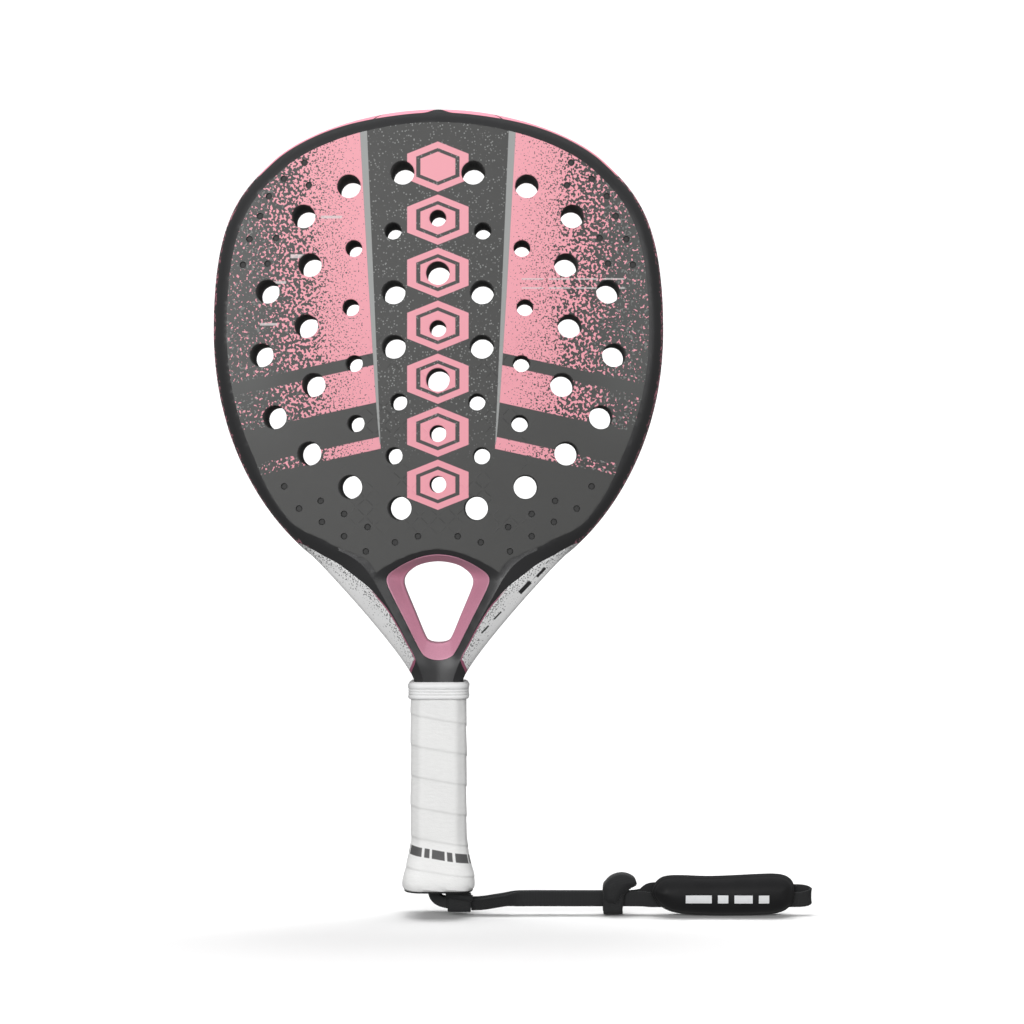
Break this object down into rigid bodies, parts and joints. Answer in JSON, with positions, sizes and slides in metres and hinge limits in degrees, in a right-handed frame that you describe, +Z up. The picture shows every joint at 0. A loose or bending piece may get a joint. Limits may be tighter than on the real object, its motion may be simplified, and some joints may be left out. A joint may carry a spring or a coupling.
{
  "type": "padel racket",
  "caption": "Perforated teardrop padel racket with an open throat, a wrapped octagonal grip and a wrist strap with a padded band.",
  "frame": {"origin": "on the handle's axis, halfway up the grip, where a hand or a clamp holds it", "axes": "+Z up the handle to the head's top, +X to the right seen from the front, -Y out of the front face"},
  "size_m": [0.3465, 0.038, 0.466],
  "materials": {
    "frame_paint": "satin dark grey lacquer over carbon fibre",
    "eva_foam": "dense black foam",
    "face_lacquer": "matt dark grey lacquer with pink speckled panels",
    "yoke_paint": "metallic pink paint",
    "fairing_paint": "white with fine grey speckle",
    "handle_foam": "moulded rigid foam",
    "cushion": "soft matt cushion",
    "overgrip_wrap": "white tacky polyurethane wrap",
    "collar_rubber": "white rubber",
    "cap_plastic": "moulded black nylon",
    "steel": "plain steel",
    "webbing": "woven black polyester webbing",
    "pad_skin": "smooth black coated fabric",
    "pad_foam": "soft foam"
  },
  "bodies": {
    "racket": {"frame_tube": "frame_paint", "eva_core": "eva_foam", "front_face": "face_lacquer", "rear_face": "face_lacquer", "throat_bridge": "frame_paint", "throat_yoke": "yoke_paint", "left_fairing": "fairing_paint", "right_fairing": "fairing_paint", "front_pallet": "handle_foam", "rear_pallet": "handle_foam", "cushion_grip": "cushion", "overgrip": "overgrip_wrap", "finishing_tape": "overgrip_wrap", "grip_collar": "collar_rubber", "butt_cap": "cap_plastic", "cap_staples": "steel", "anchor_pin": "steel", "anchor_loop": "webbing"},
    "strap": {"strap_hitch": "webbing", "strap_webbing": "webbing"},
    "knot": {"cinch_knot": "webbing"},
    "wrist_pad": {"pad_front_cover": "pad_skin", "pad_foam": "pad_foam", "pad_rear_cover": "pad_skin", "pad_binding": "pad_skin"}
  },
  "joints": [
    {"name": "strap_swing", "type": "hinge", "parent": "racket", "child": "strap", "pos_m": [0.005, 0, -0.0695], "axis": [0, 1, 0], "range_deg": [-8, 180]},
    {"name": "knot_slide", "type": "slide", "parent": "strap", "child": "knot", "axis": [1, 0, 0], "range_m": [-0.043, 0.003]},
    {"name": "pad_slide", "type": "slide", "parent": "strap", "child": "wrist_pad", "axis": [1, 0, 0], "range_m": [-0.004, 0.005]}
  ]
}
